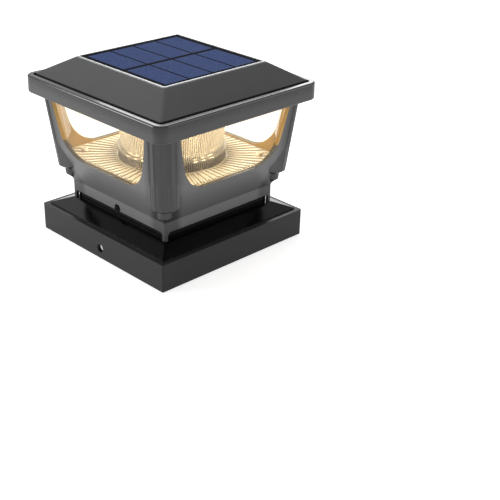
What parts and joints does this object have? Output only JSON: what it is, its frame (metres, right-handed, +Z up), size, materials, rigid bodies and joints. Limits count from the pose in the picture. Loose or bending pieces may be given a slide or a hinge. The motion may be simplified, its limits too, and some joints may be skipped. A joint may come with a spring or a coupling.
{
  "type": "deck post cap light",
  "caption": "Square solar post cap lantern: socketed base, flared body with corner pillars, lit windows, sloped roof with solar panel.",
  "frame": {"origin": "middle of the skirt's lower edge, at the bottom centre of the bounding box", "axes": "+Z up; -Y is the front, with a post screw hole and a neck screw, and +Y has the same pair; +X is to the right of the front"},
  "size_m": [0.1016, 0.1016, 0.0918],
  "materials": {
    "black_plastic": "fine satin grain",
    "black_screws": "black satin",
    "clear_plastic": "clear, polished",
    "cream_plastic": "satin, warm white",
    "steel_screws": "zinc plated",
    "strip_board": "dark brown lacquer",
    "led_phosphor": "lit, warm white",
    "seal_rubber": "soft foam",
    "silver_bezel": "polished",
    "panel_black": "black laminate",
    "cell_blue": "dark blue silicon",
    "panel_clear": "clear, satin",
    "tray_plastic": "smooth satin",
    "battery_wrap": "shrink sleeve",
    "contact_plate": "nickel plated",
    "board_green": "solder mask",
    "part_black": "moulded",
    "button_rubber": "soft matt",
    "lead_cover": "soft satin"
  },
  "bodies": {
    "housing": {"post_base": "black_plastic", "lantern_body": "black_plastic", "neck_screws": "black_screws", "window_insert": "clear_plastic", "ribbed_floor": "cream_plastic", "floor_screws": "steel_screws", "reflector_drum": "cream_plastic", "drum_screws": "steel_screws", "lamp_hub": "cream_plastic", "hub_screws": "steel_screws", "led_strips": "strip_board", "leds": "led_phosphor", "ceiling_plate": "cream_plastic", "roof_rim": "black_plastic", "body_screws": "steel_screws", "roof_seal": "seal_rubber", "roof_cover": "black_plastic", "roof_screws": "steel_screws", "panel_bezel": "silver_bezel", "panel_backing": "panel_black", "solar_cells": "cell_blue", "panel_sheet": "panel_clear", "electronics_tray": "tray_plastic", "battery": "battery_wrap", "battery_contacts": "contact_plate", "battery_door": "tray_plastic", "door_seal": "seal_rubber", "door_screws": "steel_screws", "circuit_board": "board_green", "board_parts": "part_black", "board_screws": "steel_screws", "power_switch": "part_black", "panel_leads": "lead_cover", "led_leads": "lead_cover", "battery_leads": "lead_cover"},
    "button": {"power_button": "button_rubber"}
  },
  "joints": [
    {"name": "power_press", "type": "slide", "parent": "housing", "child": "button", "axis": [0, 0, 1], "range_m": [0, 0.001], "stiffness_N_per_m": 1500}
  ]
}
